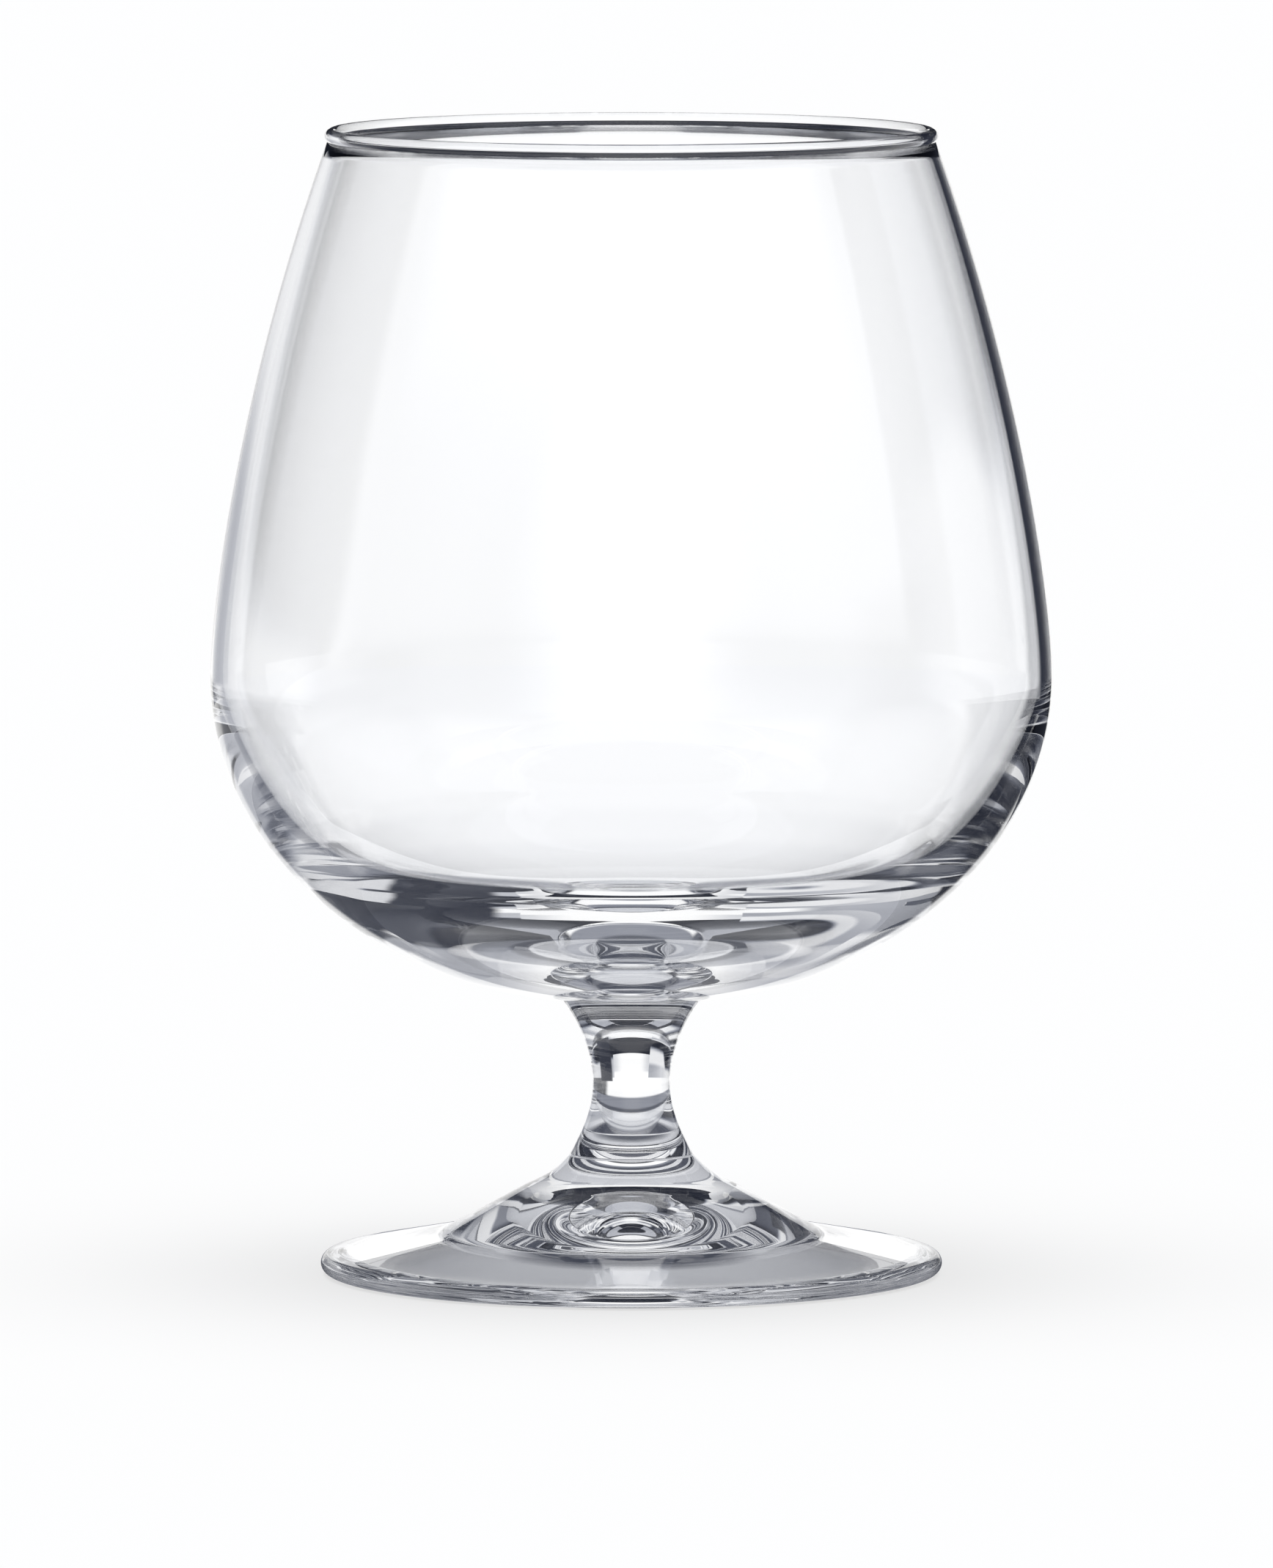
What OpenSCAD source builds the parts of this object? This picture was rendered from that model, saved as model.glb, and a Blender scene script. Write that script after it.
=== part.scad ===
// Brandy snifter: a wide tulip bowl with a beaded rim, on a short waisted stem and a round foot.
// Clear glass, turned about the Z axis. Z = 0 is the table that the foot stands on.

/* [Overall] */
// Height from the table to the top of the rim
glass_h = 150; // [120:1:200]
// Length of the stem between its two joints
stem_h = 20.8; // [14:0.2:40]

/* [Rim] */
// Width over the bead round the mouth
rim_d = 80; // [60:1:100]
// How far the bead stands proud of the wall, inside and outside
bead_swell = 0.35; // [0.1:0.05:0.8]

/* [Bowl] */
// Width of the bowl at its widest place
belly_d = 110; // [90:1:140]
// Height of the widest place above the joint with the stem
belly_rise = 42.2; // [32:0.2:56]
// Thickness of the wall under the bead
rim_wall = 1.2; // [0.9:0.1:3]
// Thickness of the wall at the widest place
belly_wall = 1.6; // [1:0.05:5]
// Thickness of the glass on the axis, between the bowl's inside and the stem
floor_t = 6.9; // [4.5:0.1:16]

/* [Stem] */
// Width of the stem at its waist
waist_d = 10.1; // [6:0.1:15]
// Height of the waist above the joint with the foot
waist_rise = 9.5; // [5:0.1:13]
// Width of the stem where it meets the bowl
stem_top_d = 18.9; // [15.5:0.1:30]
// Width of the stem where it meets the foot
stem_base_d = 16.1; // [15.5:0.1:24]

/* [Foot] */
// Width of the foot
foot_d = 81.4; // [62:0.2:110]
// Thickness of the foot's rounded edge
edge_t = 2.55; // [1.5:0.05:4]
// How far the flange climbs from the edge to the cone
flange_rise = 2.75; // [1:0.05:5]
// Width of the cone where it stands on the flange
cone_d = 50; // [36:0.5:58]
// How far the cone climbs from the flange to the flare
cone_rise = 6.05; // [3:0.05:12]
// Width of the cone where it runs into the flare
flare_d = 27.8; // [25:0.1:34]
// How far the flare climbs from the cone to the joint with the stem
flare_rise = 4.15; // [2:0.05:8]
// Width of the level ring that the foot stands on, between its rounded edge and the hollow
ring_w = 2.1; // [1:0.1:8]
// Depth of the hollow under the foot, on the axis
hollow_h = 6.6; // [0.5:0.1:7.5]

/* [Hidden] */
$fn = 180;
glass_colour = [0.86, 0.89, 0.93, 0.45];

// Straight steps along one curve, and along the bead or the edge
curve_steps = 28;
round_steps = 24;

// Heights above the table
edge_r = edge_t / 2;
cone_z = edge_t + flange_rise;
flare_z = cone_z + cone_rise;
stem_z = flare_z + flare_rise;
waist_z = stem_z + waist_rise;
bowl_z = stem_z + stem_h;
floor_z = bowl_z + floor_t;
belly_z = bowl_z + belly_rise;

// The bead's round section, and the level ring where it sits on the wall
bead_r = rim_wall / 2 + bead_swell;
bead_mid_r = rim_d / 2 - bead_r;
bead_mid_z = glass_h - bead_r;
neck_angle = acos(rim_wall / 2 / bead_r);
neck_z = bead_mid_z - bead_r * sin(neck_angle);
neck_out_r = bead_mid_r + rim_wall / 2;
neck_in_r = bead_mid_r - rim_wall / 2;

// Where the handles of the curves lie, across and up, along the stretch that each curve spans
wall_foot_share = 0.13;
wall_head_shares = [0.75, 0.46];
under_side_share = 0.555;
under_shares = [0.51, 0.04];
corner_shares = [0.757, 0.319];
corner_side_share = 0.413;
corner_head_shares = [0.424, 0.122];
dish_edge_shares = [0.33, 0.57];
dish_mid_shares = [0.61, 0];
stem_head_shares = [0.62, 0.27];
stem_waist_share = 0.31;
stem_base_shares = [0.54, 0.32];
stem_low_share = 0.37;
flare_head_shares = [0.3, 0.48];
flare_foot_shares = [0.55, 0.34];
hollow_head_shares = [0.2, 0];
hollow_foot_shares = [0.5, 0.5];

// Points of a cubic curve from a to d with the handles b and c, without a itself
function curve(a, b, c, d) = [
    for (i = [1 : curve_steps])
        let (t = i / curve_steps, s = 1 - t)
            s * s * s * a + 3 * s * s * t * b + 3 * s * t * t * c + t * t * t * d
];

// Points of an arc round a centre, from one angle to another
function arc(centre, r, from, to) = [
    for (i = [0 : round_steps])
        let (a = from + (to - from) * i / round_steps)
            centre + r * [cos(a), sin(a)]
];

// A point that lies at the given shares of the way from a to b, across and up
function between(a, b, shares) = [
    a.x + (b.x - a.x) * shares.x,
    a.y + (b.y - a.y) * shares.y
];

// The bowl's side from its widest place up to the neck, for the outside or the inside of the wall
function wall_side(belly, neck) = curve(
    belly,
    between(belly, neck, [0, wall_foot_share]),
    between(neck, belly, wall_head_shares),
    neck
);

// The bowl's side from its widest place down to a lower point
function under_side(belly, base, side_share, base_shares) = curve(
    belly,
    between(belly, base, [0, side_share]),
    between(base, belly, base_shares),
    base
);

// Outline points that two pieces share
neck_out = [neck_out_r, neck_z];
neck_in = [neck_in_r, neck_z];
belly_out = [belly_d / 2, belly_z];
belly_in = [belly_d / 2 - belly_wall, belly_z];
bowl_base = [stem_top_d / 2, bowl_z];
stem_base = [stem_base_d / 2, stem_z];
stem_waist = [waist_d / 2, waist_z];

// Turns a half outline about the axis
module turned(outline) {
    color(glass_colour)
        rotate_extrude()
            polygon(outline);
}

// Fire-polished bead round the mouth, on the level ring at the top of the wall
module rim() {
    turned(arc([bead_mid_r, bead_mid_z], bead_r, -neck_angle, 180 + neck_angle));
}

// Blown bowl: thin at the mouth, thicker at its widest place, and a heavy rounded base
module bowl() {
    outer_side = concat(
        [belly_out],
        wall_side(belly_out, neck_out)
    );
    inner_side = concat(
        [belly_in],
        wall_side(belly_in, neck_in)
    );
    // The inside turns at a soft corner into a dished floor
    floor_mid = [0, floor_z];
    corner = between(floor_mid, belly_in, corner_shares);
    inner_corner = under_side(belly_in, corner, corner_side_share, corner_head_shares);
    inner_floor = curve(
        corner,
        between(corner, floor_mid, dish_edge_shares),
        between(floor_mid, corner, dish_mid_shares),
        floor_mid
    );
    outer_base = under_side(belly_out, bowl_base, under_side_share, under_shares);
    turned(concat(
        outer_side,
        [for (i = [len(inner_side) - 1 : -1 : 0]) inner_side[i]],
        inner_corner,
        inner_floor,
        [[0, bowl_z]],
        [for (i = [len(outer_base) - 1 : -1 : 0]) outer_base[i]]
    ));
}

// Solid stem, drawn in to a waist and spread again to a joint at each end
module stem() {
    lower = curve(
        stem_base,
        between(stem_base, stem_waist, stem_base_shares),
        between(stem_waist, stem_base, [0, stem_low_share]),
        stem_waist
    );
    upper = curve(
        stem_waist,
        between(stem_waist, bowl_base, [0, stem_waist_share]),
        between(bowl_base, stem_waist, stem_head_shares),
        bowl_base
    );
    turned(concat([[0, stem_z], stem_base], lower, upper, [[0, bowl_z]]));
}

// Round foot: a thin flange with a rounded edge, a cone that flares into the stem, and a hollow below
module foot() {
    edge_mid = [foot_d / 2 - edge_r, edge_r];
    crease = [cone_d / 2, cone_z];
    flare_base = [flare_d / 2, flare_z];
    hollow_top = [0, hollow_h];
    hollow_edge = [edge_mid.x - ring_w, 0];
    hollow = curve(
        hollow_top,
        between(hollow_top, hollow_edge, hollow_head_shares),
        between(hollow_edge, hollow_top, hollow_foot_shares),
        hollow_edge
    );
    flare = curve(
        flare_base,
        between(flare_base, stem_base, flare_foot_shares),
        between(stem_base, flare_base, flare_head_shares),
        stem_base
    );
    turned(concat(
        [hollow_top],
        hollow,
        arc(edge_mid, edge_r, -90, 90),
        [crease, flare_base],
        flare,
        [[0, stem_z]]
    ));
}

rim();
bowl();
stem();
foot();
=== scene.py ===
"""Brandy snifter in clear glass on a pale studio floor, among shaded screens that only the glass shows."""
import math

import bpy
import numpy as np
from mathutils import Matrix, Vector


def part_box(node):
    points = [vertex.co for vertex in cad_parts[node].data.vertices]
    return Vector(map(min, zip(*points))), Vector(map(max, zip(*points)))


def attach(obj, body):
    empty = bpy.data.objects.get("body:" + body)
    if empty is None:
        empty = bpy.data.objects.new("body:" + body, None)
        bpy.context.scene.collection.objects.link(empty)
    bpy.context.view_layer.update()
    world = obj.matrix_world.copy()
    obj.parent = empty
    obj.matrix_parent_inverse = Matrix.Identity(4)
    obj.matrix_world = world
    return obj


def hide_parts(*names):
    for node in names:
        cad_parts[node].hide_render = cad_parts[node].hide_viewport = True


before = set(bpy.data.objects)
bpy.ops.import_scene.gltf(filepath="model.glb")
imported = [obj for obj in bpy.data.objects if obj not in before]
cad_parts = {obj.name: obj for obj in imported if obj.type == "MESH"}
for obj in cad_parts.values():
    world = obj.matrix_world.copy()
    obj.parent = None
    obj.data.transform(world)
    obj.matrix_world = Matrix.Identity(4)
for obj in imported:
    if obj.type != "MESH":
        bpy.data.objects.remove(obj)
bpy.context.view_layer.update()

MM = 0.001

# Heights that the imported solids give, in metres
(_, _, NECK_Z), (_, _, GLASS_H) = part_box("rim")
(_, _, BOWL_Z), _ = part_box("bowl")
(_, _, STEM_Z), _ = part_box("stem")

# Sizes of the glass, as in the solids
RIM_WALL = 1.2 * MM
BEAD_SWELL = 0.35 * MM
RIM_R = 40.0 * MM
BELLY_R = 55.0 * MM
BELLY_Z = BOWL_Z + 42.2 * MM
BELLY_WALL = 1.6 * MM
FLOOR_T = 6.9 * MM
WAIST_R = 5.05 * MM
WAIST_Z = STEM_Z + 9.5 * MM
STEM_TOP_R = 9.45 * MM
STEM_BASE_R = 8.05 * MM
FOOT_R = 40.7 * MM
EDGE_R = 1.275 * MM
CONE_R = 25.0 * MM
CONE_Z = 5.3 * MM
FLARE_R = 13.9 * MM
FLARE_Z = 11.35 * MM
RING_W = 2.1 * MM
HOLLOW_H = 6.6 * MM

# Where the handles of the outline's curves lie, across and up, on the way to the curve's other end
WALL_FOOT_SHARES = (0, 0.13)
WALL_HEAD_SHARES = (0.75, 0.46)
UNDER_SIDE_SHARES = (0, 0.555)
UNDER_SHARES = (0.51, 0.04)
CORNER_SIDE_SHARES = (0, 0.413)
CORNER_HEAD_SHARES = (0.424, 0.122)
DISH_EDGE_SHARES = (0.33, 0.57)
DISH_MID_SHARES = (0.61, 0)
STEM_HEAD_SHARES = (0.62, 0.27)
STEM_WAIST_SHARES = (0, 0.31)
STEM_BASE_SHARES = (0.54, 0.32)
STEM_LOW_SHARES = (0, 0.37)
FLARE_HEAD_SHARES = (0.3, 0.48)
FLARE_FOOT_SHARES = (0.55, 0.34)
HOLLOW_HEAD_SHARES = (0.2, 0)
HOLLOW_FOOT_SHARES = (0.5, 0.5)

# Where the inside's soft corner lies, across and up, on the way from the middle of its floor to the belly
CORNER_SHARES = (0.757, 0.319)

# Steps round the axis, and along the outline: on a curve, on the curves of the heavy lower wall, on the bead,
# on the foot's edge, ring and slopes, across a joint, and across the neck
TURN_STEPS = 288
CURVE_STEPS = 48
FINE_STEPS = 84
BEAD_STEPS = 40
EDGE_STEPS = 32
RING_STEPS = 4
SLOPE_STEPS = 16
JOINT_STEPS = 8
NECK_STEPS = 2

# Points of the outline that lie nearer the axis than this lie on it
AXIS_R = 1e-9

# The glass, and the waviness of its heavy base: waves per metre, detail, depth, and the heights between which
# it fades out towards the smooth wall
GLASS_COLOUR = (0.985, 0.99, 1.0, 1)
GLASS_IOR = 1.5
WAVE_SCALE = 70
WAVE_DETAIL = 1.0
WAVE_DEPTH = 0.02 * MM
WAVE_FADE_Z = (42 * MM, 54 * MM)

# Camera, from the photograph's 1736 x 2139 frame
FRAME_H_PX = 2139
FOCAL_PX = 23044
CAMERA_AT = (0.67 * MM, -2200 * MM, 268.8 * MM)
CAMERA_PITCH = math.radians(5.3144)
CAMERA_REACH = 100
SENSOR_H = 24.0

# How often light is followed through the glass
BOUNCES = 80

# Floor and light: the floor's reach, its gap under the foot, its colour, and the share of it that shows as
# white
FLOOR_REACH = 30.0
FLOOR_STEPS = 128
FLOOR_GAP = 0.2 * MM
FLOOR_COLOUR = (0.9, 0.9, 0.9, 1)
FLOOR_GLOW_SHARE = 0.7
SUN_LEVEL = 2.6
SUN_SPREAD = 60
WHITE = (1, 1, 1, 1)
SURROUND_COLOUR = (0.25, 0.26, 0.28, 1)

# What the glass shows of the floor: the foot's shadow and the light gathered in it, as pairs of distance from
# the axis, in shares of the radius, and level
FLOOR_ZONE_R = 100 * MM
FLOOR_STRENGTH = 1.07
FLOOR_ZONES = ((0.0, 0.1), (0.12, 0.1), (0.17, 0.65), (0.28, 0.65), (0.32, 0.75), (0.39, 0.75), (0.4, 0.1),
               (0.49, 0.1), (0.53, 0.3), (0.8, 0.3), (0.88, 1.0))

# Bearings are degrees right of straight behind the glass, and a span is a pair of bearings on either side.
# Levels are brightness, where 1 is white. A level below 1 turns bluer by these powers of red, green and blue.
COOL_POWERS = (1.16, 1.12, 1.0)

# Level of the room beyond the screens
ROOM_LEVEL = 0.03

# Backdrop all round the glass: its radius and height, its steps round about, and its steps up in a fine lower
# and a coarse upper part
BACKDROP_R = 700 * MM
BACKDROP_H = 800 * MM
BACKDROP_STEPS = 240
BACKDROP_FINE_H = 300 * MM
BACKDROP_FINE_STEPS = 60
BACKDROP_COARSE_STEPS = 25

# Window straight behind: half its width, its top, half the width of the edges there, its level, and the
# span and heights over which it dims to the level at its sides
WINDOW_HALF = 17.6
WINDOW_TOP = 175 * MM
WINDOW_EDGE = 0.1
WINDOW_EDGE_H = 1 * MM
WINDOW_LEVEL = 1.07
WINDOW_SIDE_LEVEL = 0.75
WINDOW_SIDE_SPAN = (8, WINDOW_HALF)
WINDOW_SIDE_Z = (35 * MM, 60 * MM)

# Flanks beside the window: levels next to it and far from it, the span between them, and on the left a lower
# level next to it below these heights
FLANK_SPAN = (WINDOW_HALF, 60)
LEFT_LOW_LEVEL = 0.45
LEFT_LEVELS = (0.9, 0.95)
LEFT_SHADE_Z = (90 * MM, 130 * MM)
RIGHT_LEVELS = (0.6, 0.9)

# Tops of the flanks: heights near the window and far from it, the span between them, the heights from the top
# over which the flank gives way, and the levels above it, on the left and right, from this span on
LEFT_TOP_Z = (220 * MM, 90 * MM)
LEFT_TOP_SPAN = (36, 48)
LEFT_TOP_FADE = (-20 * MM, 40 * MM)
RIGHT_TOP_Z = (140 * MM, 220 * MM)
RIGHT_TOP_SPAN = (45, 75)
RIGHT_TOP_FADE = (-10 * MM, 30 * MM)
FLANK_TOP_LEVELS = (0.12, 0.3)
FLANK_TOP_SPAN = (48, 62)

# Front of the backdrop: spans over which the flanks give way to it, a quiet left, a right that steps up
# from a dim to a pale level and ends above, and a bright middle and upper part
LEFT_FRONT_SPAN = (78, 92)
RIGHT_FRONT_SPAN = (80, 100)
FRONT_LEFT_LEVEL = 0.04
FRONT_RIGHT_LEVELS = (0.12, 0.5)
FRONT_RIGHT_SPAN = (106, 122)
FRONT_RIGHT_Z = (160 * MM, 200 * MM)
FRONT_RIGHT_END_Z = (350 * MM, 500 * MM)
FRONT_BRIGHT_LEVEL = 0.95
FRONT_MID_SPAN = (142, 168)
FRONT_TOP_SPAN = (96, 112)
FRONT_TOP_Z = (200 * MM, 560 * MM)

# Light that has passed through the glass unreflected sees plain white on the backdrop from this span on
PLAIN_SPAN = (66, 78)
UNREFLECTED_BELOW = 0.5

# Upright cards nearer the glass: radius, from and to bearing, lower and upper height, level, and the share of
# the card that is hidden from light that has passed through the glass unreflected
CARDS = {
    "left_dark": (200 * MM, -84, -58, 0, 56 * MM, 0.03, 1.0),
    "tall_card": (300 * MM, 18.5, 40, 0, 200 * MM, 0.05, 0.0),
}
CARD_STEPS = (60, 24)

# Cards that lie on the floor: from and to bearing, inner radius, radius of full cover, outer radius, level,
# and the share that is hidden from unreflected light
FLOOR_CARDS = {
    "floor_card_left": (-82, -24, 78 * MM, 79 * MM, 230 * MM, 0.18, 1.0),
    "floor_card_far_left": (-82, -24, 230 * MM, 231 * MM, 690 * MM, 0.5, 1.0),
    "floor_card_right": (24, 82, 78 * MM, 79 * MM, 690 * MM, 0.03, 0.15),
    "floor_card_front_left": (-165, -70, 90 * MM, 640 * MM, 690 * MM, 0.04, 1.0),
    "floor_card_front_right": (82, 165, 90 * MM, 640 * MM, 690 * MM, 0.4, 1.0),
}
FLOOR_CARD_Z = 0.5 * MM
FLOOR_CARD_STEPS = (60, 8)

# Share of a card's width and height over which its edge fades
CARD_FADE = 0.12

# Flat ring overhead, open towards the front: height, inner and outer radius, from and to bearing, level
CEILING_Z = 800 * MM
CEILING_R = (260 * MM, 560 * MM)
CEILING_ENDS = (-125, 125)
CEILING_STEPS = 48
CEILING_LEVEL = 0.5


def between(a, b, shares):
    """The point at the given shares of the way from a to b, across and up."""
    return tuple(start + (end - start) * share for start, end, share in zip(a, b, shares))


def curve(a, d, a_shares, d_shares, steps=CURVE_STEPS):
    """Points of a cubic curve from a to d: one handle at a's shares towards d, one at d's towards a."""
    t = np.linspace(0, 1, steps + 1)[:, None]
    s = 1 - t
    handles = between(a, d, a_shares), between(d, a, d_shares)
    a, b, c, d = (np.asarray(point, float) for point in (a, *handles, d))
    return s**3 * a + 3 * s**2 * t * b + 3 * s * t**2 * c + t**3 * d


def arc(centre, radius, start, end, steps):
    """Points of an arc round a centre, between two angles in degrees."""
    angle = np.radians(np.linspace(start, end, steps + 1))
    return np.asarray(centre) + radius * np.column_stack([np.cos(angle), np.sin(angle)])


def line(a, b, steps):
    """Evenly spaced points from a to b."""
    t = np.linspace(0, 1, steps + 1)[:, None]
    return np.asarray(a) * (1 - t) + np.asarray(b) * t


def join(*stretches):
    """One outline from stretches that meet end to end, with each meeting point kept once."""
    parts = [stretches[0]] + [stretch[1:] for stretch in stretches[1:]]
    return np.vstack(parts)


def turned(name, outline, weld, closed):
    """Surface of revolution: the outline's point (r, z) at turn angle a lies at (r cos a, r sin a, z).

    The outline runs anticlockwise in the r, z half plane. It starts and ends on the axis, or is a
    closed loop. weld marks the outline's steps whose faces are fused to the next piece.
    """
    r, z = outline[:, 0], outline[:, 1]
    ring = np.flatnonzero(np.abs(r) >= AXIS_R)
    angle = np.arange(TURN_STEPS) * (2 * np.pi / TURN_STEPS)
    rings = np.stack(
        [np.outer(r[ring], np.cos(angle)), np.outer(r[ring], np.sin(angle)),
         np.repeat(z[ring][:, None], TURN_STEPS, 1)], axis=2)
    points = rings.reshape(-1, 3)
    here = np.arange(TURN_STEPS)
    ahead = (here + 1) % TURN_STEPS
    rows = np.arange(len(ring) if closed else len(ring) - 1)
    low = rows[:, None] * TURN_STEPS
    high = (rows[:, None] + 1) % len(ring) * TURN_STEPS
    quads = np.stack([low + here, low + ahead, high + ahead, high + here], axis=2).reshape(-1, 4)
    faces = quads.tolist()
    marks = np.repeat(weld[ring[rows]], TURN_STEPS)
    if not closed:
        poles = np.array([[0, 0, z[0]], [0, 0, z[-1]]])
        first, last = len(points), len(points) + 1
        points = np.vstack([points, poles])
        top = (len(ring) - 1) * TURN_STEPS
        lids = np.vstack([
            np.stack([np.full(TURN_STEPS, first), ahead, here], axis=1),
            np.stack([top + here, top + ahead, np.full(TURN_STEPS, last)], axis=1)])
        faces += lids.tolist()
        marks = np.concatenate([marks, np.repeat([weld[0], weld[-2]], TURN_STEPS)])
    mesh = bpy.data.meshes.new(name)
    mesh.from_pydata(points.tolist(), [], faces)
    mesh.polygons.foreach_set("use_smooth", np.ones(len(faces), bool))
    mesh.materials.append(GLASS)
    mesh.materials.append(WELD)
    mesh.polygons.foreach_set("material_index", marks.astype(np.int32))
    mesh.update()
    piece = bpy.data.objects.new(name, mesh)
    bpy.context.scene.collection.objects.link(piece)
    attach(piece, "root")
    return piece


def new_material(name):
    """An empty node material, its node tree and its output."""
    material = bpy.data.materials.new(name)
    material.use_nodes = True
    tree = material.node_tree
    tree.nodes.clear()
    output = tree.nodes.new("ShaderNodeOutputMaterial")
    return material, tree, output


def math_node(tree, operation, first, second):
    """Result of a Math node on two values, each a number or another node's socket."""
    node = tree.nodes.new("ShaderNodeMath")
    node.operation = operation
    for value, socket in zip((first, second), node.inputs):
        if isinstance(value, bpy.types.NodeSocket):
            tree.links.new(value, socket)
        else:
            socket.default_value = value
    return node.outputs[0]


def mix_shaders(tree, share, first, second):
    """A mix of two shaders: the first where the share is 0, the second where it is 1."""
    node = tree.nodes.new("ShaderNodeMixShader")
    for source, socket in zip((share, first, second), node.inputs):
        tree.links.new(source, socket)
    return node.outputs[0]


def seen_in_glass(tree, path):
    """1 for what shows in the glass, 0 for what shows to the camera or lights the floor."""
    return math_node(tree, "MAXIMUM", path.outputs["Is Glossy Ray"], path.outputs["Is Transmission Ray"])


def clear_glass():
    """Clear fire-polished glass, with the faint waviness that working it hot leaves in its heavy base."""
    material, tree, output = new_material("clear_glass")
    place = tree.nodes.new("ShaderNodeTexCoord")
    waves = tree.nodes.new("ShaderNodeTexNoise")
    waves.inputs["Scale"].default_value = WAVE_SCALE
    waves.inputs["Detail"].default_value = WAVE_DETAIL
    split = tree.nodes.new("ShaderNodeSeparateXYZ")
    fade = tree.nodes.new("ShaderNodeMapRange")
    fade.inputs["From Min"].default_value = WAVE_FADE_Z[0]
    fade.inputs["From Max"].default_value = WAVE_FADE_Z[1]
    fade.inputs["To Min"].default_value = 1.0
    fade.inputs["To Max"].default_value = 0.0
    tree.links.new(place.outputs["Object"], waves.inputs["Vector"])
    tree.links.new(place.outputs["Object"], split.inputs[0])
    tree.links.new(split.outputs["Z"], fade.inputs["Value"])
    bump = tree.nodes.new("ShaderNodeBump")
    bump.inputs["Strength"].default_value = 1.0
    bump.inputs["Distance"].default_value = WAVE_DEPTH
    height = math_node(tree, "MULTIPLY", waves.outputs["Fac"], fade.outputs[0])
    tree.links.new(height, bump.inputs["Height"])
    glass = tree.nodes.new("ShaderNodeBsdfPrincipled")
    glass.inputs["Base Color"].default_value = GLASS_COLOUR
    glass.inputs["Roughness"].default_value = 0.0
    glass.inputs["IOR"].default_value = GLASS_IOR
    glass.inputs["Transmission Weight"].default_value = 1.0
    tree.links.new(bump.outputs["Normal"], glass.inputs["Normal"])
    tree.links.new(glass.outputs[0], output.inputs["Surface"])
    return material


def fused_glass():
    """The faces where two pieces are fused: light passes on as through one body of glass."""
    material, tree, output = new_material("fused_glass")
    through = tree.nodes.new("ShaderNodeBsdfTransparent")
    tree.links.new(through.outputs[0], output.inputs["Surface"])
    return material


GLASS = clear_glass()
WELD = fused_glass()

# Outline points that two pieces or two functions share
bead_r = RIM_WALL / 2 + BEAD_SWELL
bead_mid = (RIM_R - bead_r, GLASS_H - bead_r)
neck_angle = math.degrees(math.acos(RIM_WALL / 2 / bead_r))
neck_out = (bead_mid[0] + RIM_WALL / 2, NECK_Z)
neck_in = (bead_mid[0] - RIM_WALL / 2, NECK_Z)
belly_out = (BELLY_R, BELLY_Z)
belly_in = (BELLY_R - BELLY_WALL, BELLY_Z)
bowl_base = (STEM_TOP_R, BOWL_Z)
bowl_joint_mid = (0, BOWL_Z)
stem_base = (STEM_BASE_R, STEM_Z)
foot_joint_mid = (0, STEM_Z)
waist = (WAIST_R, WAIST_Z)


def no_weld(outline):
    """Marks for an outline with no fused face."""
    return np.zeros(len(outline), bool)


def make_rim():
    """Bead round the mouth: a round section, cut level where it sits on the wall."""
    outline = arc(bead_mid, bead_r, -neck_angle, 180 + neck_angle, BEAD_STEPS)
    weld = no_weld(outline)
    weld[-1] = True
    piece = turned("rim_bead", outline, weld, closed=True)
    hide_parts("rim")


def make_bowl():
    """Bowl: outer side up from the stem, over the neck, and the inside back down to the axis."""
    floor_mid = (0, BOWL_Z + FLOOR_T)
    corner = between(floor_mid, belly_in, CORNER_SHARES)
    joint = line(bowl_joint_mid, bowl_base, JOINT_STEPS)
    base = curve(bowl_base, belly_out, UNDER_SHARES, UNDER_SIDE_SHARES, FINE_STEPS)
    side = curve(belly_out, neck_out, WALL_FOOT_SHARES, WALL_HEAD_SHARES)
    neck = line(neck_out, neck_in, NECK_STEPS)
    inside = curve(neck_in, belly_in, WALL_HEAD_SHARES, WALL_FOOT_SHARES)
    wall_foot = curve(belly_in, corner, CORNER_SIDE_SHARES, CORNER_HEAD_SHARES, FINE_STEPS)
    dish = curve(corner, floor_mid, DISH_EDGE_SHARES, DISH_MID_SHARES)
    outline = join(joint, base, side, neck, inside, wall_foot, dish)
    weld = no_weld(outline)
    weld[:JOINT_STEPS] = True
    at_neck = JOINT_STEPS + FINE_STEPS + CURVE_STEPS
    weld[at_neck:at_neck + NECK_STEPS] = True
    piece = turned("bowl_wall", outline, weld, closed=False)
    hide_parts("bowl")


def make_stem():
    """Stem: up from the foot to the waist, and out again to the bowl."""
    outline = join(
        line(foot_joint_mid, stem_base, JOINT_STEPS),
        curve(stem_base, waist, STEM_BASE_SHARES, STEM_LOW_SHARES),
        curve(waist, bowl_base, STEM_WAIST_SHARES, STEM_HEAD_SHARES),
        line(bowl_base, bowl_joint_mid, JOINT_STEPS))
    weld = no_weld(outline)
    weld[:JOINT_STEPS] = True
    weld[-JOINT_STEPS - 1:] = True
    piece = turned("stem_body", outline, weld, closed=False)
    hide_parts("stem")


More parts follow.
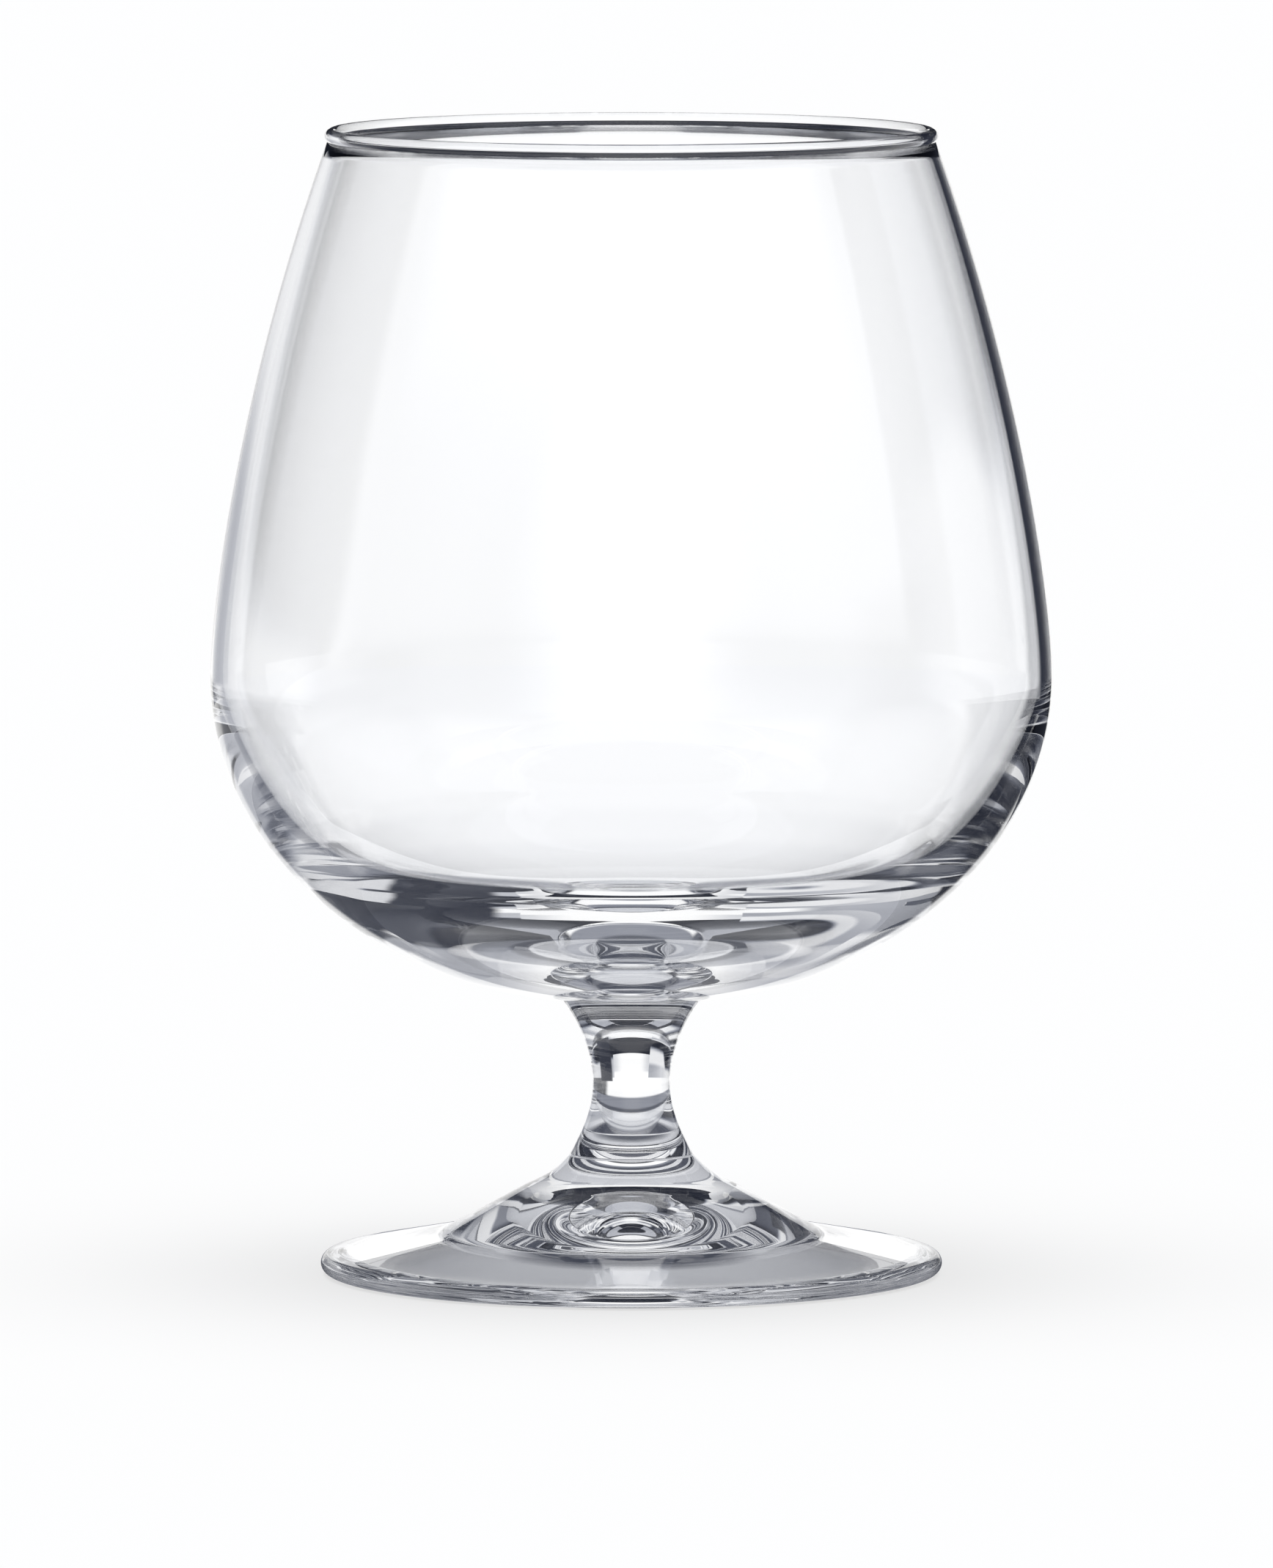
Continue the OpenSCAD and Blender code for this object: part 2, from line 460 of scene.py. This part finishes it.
def make_foot():
    """Foot: hollow below, level ring, rounded edge, flange, cone, and the flare up to the stem."""
    edge_mid = (FOOT_R - EDGE_R, EDGE_R)
    hollow_top = (0, HOLLOW_H)
    hollow_foot = (edge_mid[0] - RING_W, 0)
    crease = (CONE_R, CONE_Z)
    flare_base = (FLARE_R, FLARE_Z)
    edge = arc(edge_mid, EDGE_R, -90, 90, EDGE_STEPS)
    outline = join(
        curve(hollow_top, hollow_foot, HOLLOW_HEAD_SHARES, HOLLOW_FOOT_SHARES),
        line(hollow_foot, edge[0], RING_STEPS),
        edge,
        line(edge[-1], crease, SLOPE_STEPS),
        line(crease, flare_base, SLOPE_STEPS),
        curve(flare_base, stem_base, FLARE_FOOT_SHARES, FLARE_HEAD_SHARES),
        line(stem_base, foot_joint_mid, JOINT_STEPS))
    weld = no_weld(outline)
    weld[-JOINT_STEPS - 1:] = True
    piece = turned("foot_body", outline, weld, closed=False)
    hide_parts("foot")


def make_camera():
    """Camera at the photograph's place, looking along +Y and a little down."""
    data = bpy.data.cameras.new("camera")
    data.sensor_fit = "VERTICAL"
    data.sensor_height = SENSOR_H
    data.lens = FOCAL_PX / FRAME_H_PX * SENSOR_H
    data.clip_end = CAMERA_REACH
    camera = bpy.data.objects.new("camera", data)
    camera.location = CAMERA_AT
    camera.rotation_euler = (math.pi / 2 - CAMERA_PITCH, 0, 0)
    bpy.context.scene.collection.objects.link(camera)
    bpy.context.scene.camera = camera


def cool(level):
    """Greys of the given levels, as colours that turn bluer the darker they are."""
    level = np.asarray(level, float)
    return np.stack([level**power for power in COOL_POWERS] + [np.ones_like(level)], axis=-1)


def floor_glow(tree):
    """The floor's brightness as the glass shows it: a ramp over the distance from the axis."""
    place = tree.nodes.new("ShaderNodeTexCoord")
    length = tree.nodes.new("ShaderNodeVectorMath")
    length.operation = "LENGTH"
    ramp = tree.nodes.new("ShaderNodeValToRGB")
    marks = ramp.color_ramp.elements
    while len(marks) < len(FLOOR_ZONES):
        marks.new(1.0)
    for mark, (position, level) in zip(marks, FLOOR_ZONES):
        mark.position = position
        mark.color = cool(level)
    glow = tree.nodes.new("ShaderNodeEmission")
    glow.inputs["Strength"].default_value = FLOOR_STRENGTH
    tree.links.new(place.outputs["Object"], length.inputs[0])
    share = math_node(tree, "DIVIDE", length.outputs["Value"], FLOOR_ZONE_R)
    tree.links.new(share, ramp.inputs[0])
    tree.links.new(ramp.outputs["Color"], glow.inputs["Color"])
    return glow.outputs[0]


def make_floor():
    """Pale floor: a wide disc just under the foot, near white to the camera, with the shadow kept."""
    angle = np.arange(FLOOR_STEPS) * (2 * np.pi / FLOOR_STEPS)
    level = np.full(FLOOR_STEPS, -FLOOR_GAP)
    points = np.column_stack([FLOOR_REACH * np.cos(angle), FLOOR_REACH * np.sin(angle), level])
    mesh = bpy.data.meshes.new("floor")
    mesh.from_pydata(points.tolist(), [], [list(range(FLOOR_STEPS))])
    material, tree, output = new_material("floor")
    diffuse = tree.nodes.new("ShaderNodeBsdfDiffuse")
    diffuse.inputs["Color"].default_value = FLOOR_COLOUR
    white = tree.nodes.new("ShaderNodeEmission")
    path = tree.nodes.new("ShaderNodeLightPath")
    share = math_node(tree, "MULTIPLY", path.outputs["Is Camera Ray"], FLOOR_GLOW_SHARE)
    lit = mix_shaders(tree, share, diffuse.outputs[0], white.outputs[0])
    shown = mix_shaders(tree, seen_in_glass(tree, path), lit, floor_glow(tree))
    tree.links.new(shown, output.inputs["Surface"])
    mesh.materials.append(material)
    floor = bpy.data.objects.new("floor", mesh)
    bpy.context.scene.collection.objects.link(floor)


def screen_material(name, plain_node):
    """A surface that gives off the light kept at its points, and lets through what its cover leaves.

    Light that has come through the glass without a reflection sees the plain node instead, by the
    share that is kept at the points.
    """
    material, tree, output = new_material(name)
    shade = tree.nodes.new("ShaderNodeAttribute")
    shade.attribute_name = "shade"
    share = tree.nodes.new("ShaderNodeAttribute")
    share.attribute_name = "plain"
    path = tree.nodes.new("ShaderNodeLightPath")
    glow = tree.nodes.new("ShaderNodeEmission")
    through = tree.nodes.new("ShaderNodeBsdfTransparent")
    plain = tree.nodes.new(plain_node)
    tree.links.new(shade.outputs["Color"], glow.inputs["Color"])
    shaded = mix_shaders(tree, shade.outputs["Alpha"], through.outputs[0], glow.outputs[0])
    straight = math_node(tree, "LESS_THAN", path.outputs["Glossy Depth"], UNREFLECTED_BELOW)
    plain_share = math_node(tree, "MULTIPLY", straight, share.outputs["Fac"])
    shown = mix_shaders(tree, plain_share, shaded, plain.outputs[0])
    tree.links.new(shown, output.inputs["Surface"])
    return material


SCREEN = screen_material("screen", "ShaderNodeEmission")
CARD = screen_material("card", "ShaderNodeBsdfTransparent")


def stage_screen(name, points, faces, levels, material, cover=1.0, plain=0.0):
    """A screen or card that shows only in the glass.

    Its levels, its cover and its plain share are one value, or one for each point.
    """
    mesh = bpy.data.meshes.new(name)
    mesh.from_pydata(points.tolist(), [], faces.tolist())
    colours = cool(np.broadcast_to(levels, len(points)))
    colours[:, 3] = cover
    shade = mesh.attributes.new("shade", "FLOAT_COLOR", "POINT")
    shade.data.foreach_set("color", colours.ravel())
    share = mesh.attributes.new("plain", "FLOAT", "POINT")
    share.data.foreach_set("value", np.array(np.broadcast_to(plain, len(points)), float))
    mesh.materials.append(material)
    screen = bpy.data.objects.new(name, mesh)
    screen.visible_camera = False
    screen.visible_diffuse = False
    screen.visible_shadow = False
    bpy.context.scene.collection.objects.link(screen)


def ring_grid(bearing, radius, height):
    """Grid round the axis: the point at bearing b, radius r and height h lies at (r sin b, r cos b, h).

    The bearings run across it. The radii or the heights, whichever there are several of, run up it.
    Gives the points, the faces, and each point's bearing, radius and height.
    """
    radius, height = np.broadcast_arrays(np.atleast_1d(radius), np.atleast_1d(height))
    b, r = np.meshgrid(bearing, radius)
    h = np.meshgrid(bearing, height)[1]
    turn = np.radians(b)
    points = np.stack([r * np.sin(turn), r * np.cos(turn), h], axis=2).reshape(-1, 3)
    wide = len(bearing)
    at = (np.arange(len(radius) - 1)[:, None] * wide + np.arange(wide - 1)).ravel()
    faces = np.stack([at, at + 1, at + 1 + wide, at + wide], axis=1)
    return points, faces, b.ravel(), r.ravel(), h.ravel()


def smooth(low, high, value):
    """0 below low, 1 above high, and a smooth rise between them."""
    t = np.clip((value - low) / (high - low), 0, 1)
    return t * t * (3 - 2 * t)


def blend(first, second, share):
    """The first value where the share is 0, the second where it is 1, and a mix of both between."""
    return first + (second - first) * share


def make_backdrop():
    """Backdrop all round the glass, shaded by bearing and height.

    The window straight behind is white, dimmer at its sides above the sill, and ends in the dark room
    above. The flanks beside it get lighter with the bearing, up to tops of changing height. In front
    the left is quiet and the right pale, with a bright middle and a bright upper part.
    """
    edge = np.array([-1, 1])
    bearing = np.unique(np.concatenate([
        np.linspace(-180, 180, BACKDROP_STEPS + 1),
        WINDOW_HALF + WINDOW_EDGE * edge,
        -WINDOW_HALF + WINDOW_EDGE * edge]))
    height = np.unique(np.concatenate([
        np.linspace(0, BACKDROP_FINE_H, BACKDROP_FINE_STEPS + 1),
        np.linspace(BACKDROP_FINE_H, BACKDROP_H, BACKDROP_COARSE_STEPS + 1),
        WINDOW_TOP + WINDOW_EDGE_H * edge]))
    points, faces, b, _, h = ring_grid(bearing, BACKDROP_R, height)
    away = np.abs(b)
    on_left = b < 0
    window_side = smooth(*WINDOW_SIDE_SPAN, away) * smooth(*WINDOW_SIDE_Z, h)
    window = blend(WINDOW_LEVEL, WINDOW_SIDE_LEVEL, window_side) * (h < WINDOW_TOP)
    rise = smooth(*FLANK_SPAN, away)
    near_left, far_left = LEFT_LEVELS
    left = blend(blend(LEFT_LOW_LEVEL, near_left, smooth(*LEFT_SHADE_Z, h)), far_left, rise)
    right = blend(*RIGHT_LEVELS, rise)
    left_top = blend(*LEFT_TOP_Z, smooth(*LEFT_TOP_SPAN, away))
    right_top = blend(*RIGHT_TOP_Z, smooth(*RIGHT_TOP_SPAN, away))
    over = np.where(on_left, smooth(*LEFT_TOP_FADE, h - left_top), smooth(*RIGHT_TOP_FADE, h - right_top))
    upper = np.where(on_left, *FLANK_TOP_LEVELS) * smooth(*FLANK_TOP_SPAN, away)
    flank = blend(np.where(on_left, left, right), upper, over)
    step = np.maximum(smooth(*FRONT_RIGHT_SPAN, away), smooth(*FRONT_RIGHT_Z, h))
    front_right = blend(*FRONT_RIGHT_LEVELS, step) * (1 - smooth(*FRONT_RIGHT_END_Z, h))
    quiet = np.where(on_left, FRONT_LEFT_LEVEL, front_right)
    bright_top = smooth(*FRONT_TOP_Z, h) * smooth(*FRONT_TOP_SPAN, away)
    bright = np.maximum(smooth(*FRONT_MID_SPAN, away), bright_top)
    front = blend(quiet, FRONT_BRIGHT_LEVEL, bright)
    to_front = np.where(on_left, smooth(*LEFT_FRONT_SPAN, away), smooth(*RIGHT_FRONT_SPAN, away))
    level = np.where(away < WINDOW_HALF, window, blend(flank, front, to_front))
    plain = smooth(*PLAIN_SPAN, away)
    stage_screen("backdrop", points, faces, np.maximum(level, ROOM_LEVEL), SCREEN, plain=plain)


def side_cover(b, start, end):
    """Cover of a card that fades out towards its two sides."""
    return smooth(0, CARD_FADE * (end - start), np.minimum(b - start, end - b))


def make_card(name, radius, start, end, low_z, high_z, level, plain):
    """A card near the glass: an upright strip of a cylinder between two bearings and two heights.

    Its cover fades out towards its sides and its top, and is whole down to the floor.
    """
    across, up = CARD_STEPS
    bearing = np.linspace(start, end, across + 1)
    height = np.linspace(low_z, high_z, up + 1)
    points, faces, b, _, h = ring_grid(bearing, radius, height)
    top = smooth(0, CARD_FADE * (high_z - low_z), high_z - h)
    stage_screen(name, points, faces, level, CARD, side_cover(b, start, end) * top, plain)


def make_floor_card(name, start, end, inner, full, outer, level, plain):
    """A card on the floor, a sector of a flat ring.

    Its cover fades out towards its sides, and from its radius of full cover inwards.
    """
    across, out = FLOOR_CARD_STEPS
    bearing = np.linspace(start, end, across + 1)
    radius = np.unique(np.concatenate([np.linspace(inner, full, out + 1), np.linspace(full, outer, out + 1)]))
    points, faces, b, r, _ = ring_grid(bearing, radius, FLOOR_CARD_Z)
    stage_screen(name, points, faces, level, CARD, side_cover(b, start, end) * smooth(inner, full, r), plain)


def make_ceiling():
    """A light sector of a flat ring overhead, open towards the front."""
    bearing = np.linspace(*CEILING_ENDS, CEILING_STEPS + 1)
    points, faces, *_ = ring_grid(bearing, CEILING_R, CEILING_Z)
    stage_screen("ceiling", points, faces, CEILING_LEVEL, SCREEN)


def make_light():
    """Soft light from above, which lights the floor evenly."""
    data = bpy.data.lights.new("sky_light", "SUN")
    data.energy = SUN_LEVEL
    data.angle = math.radians(SUN_SPREAD)
    light = bpy.data.objects.new("sky_light", data)
    light.visible_glossy = False
    light.visible_transmission = False
    bpy.context.scene.collection.objects.link(light)


def make_world():
    """White round about for the camera, a dark room beyond the screens for the glass, grey for the floor."""
    world = bpy.data.worlds.new("studio")
    world.use_nodes = True
    tree = world.node_tree
    tree.nodes.clear()
    output = tree.nodes.new("ShaderNodeOutputWorld")
    path = tree.nodes.new("ShaderNodeLightPath")
    shades = []
    for colour in (WHITE, cool(ROOM_LEVEL), SURROUND_COLOUR):
        background = tree.nodes.new("ShaderNodeBackground")
        background.inputs["Color"].default_value = colour
        shades.append(background.outputs[0])
    white, dark, grey = shades
    room = mix_shaders(tree, seen_in_glass(tree, path), grey, dark)
    shown = mix_shaders(tree, path.outputs["Is Camera Ray"], room, white)
    tree.links.new(shown, output.inputs["Surface"])
    bpy.context.scene.world = world


scene = bpy.context.scene
scene.view_settings.view_transform = "Standard"
scene.cycles.max_bounces = BOUNCES
scene.cycles.transmission_bounces = BOUNCES
scene.cycles.glossy_bounces = BOUNCES
scene.cycles.transparent_max_bounces = BOUNCES
scene.cycles.caustics_reflective = False
scene.cycles.caustics_refractive = False
make_camera()
make_rim()
make_bowl()
make_stem()
make_foot()
make_floor()
make_backdrop()
for name, card in CARDS.items():
    make_card(name, *card)
for name, card in FLOOR_CARDS.items():
    make_floor_card(name, *card)
make_ceiling()
make_light()
make_world()
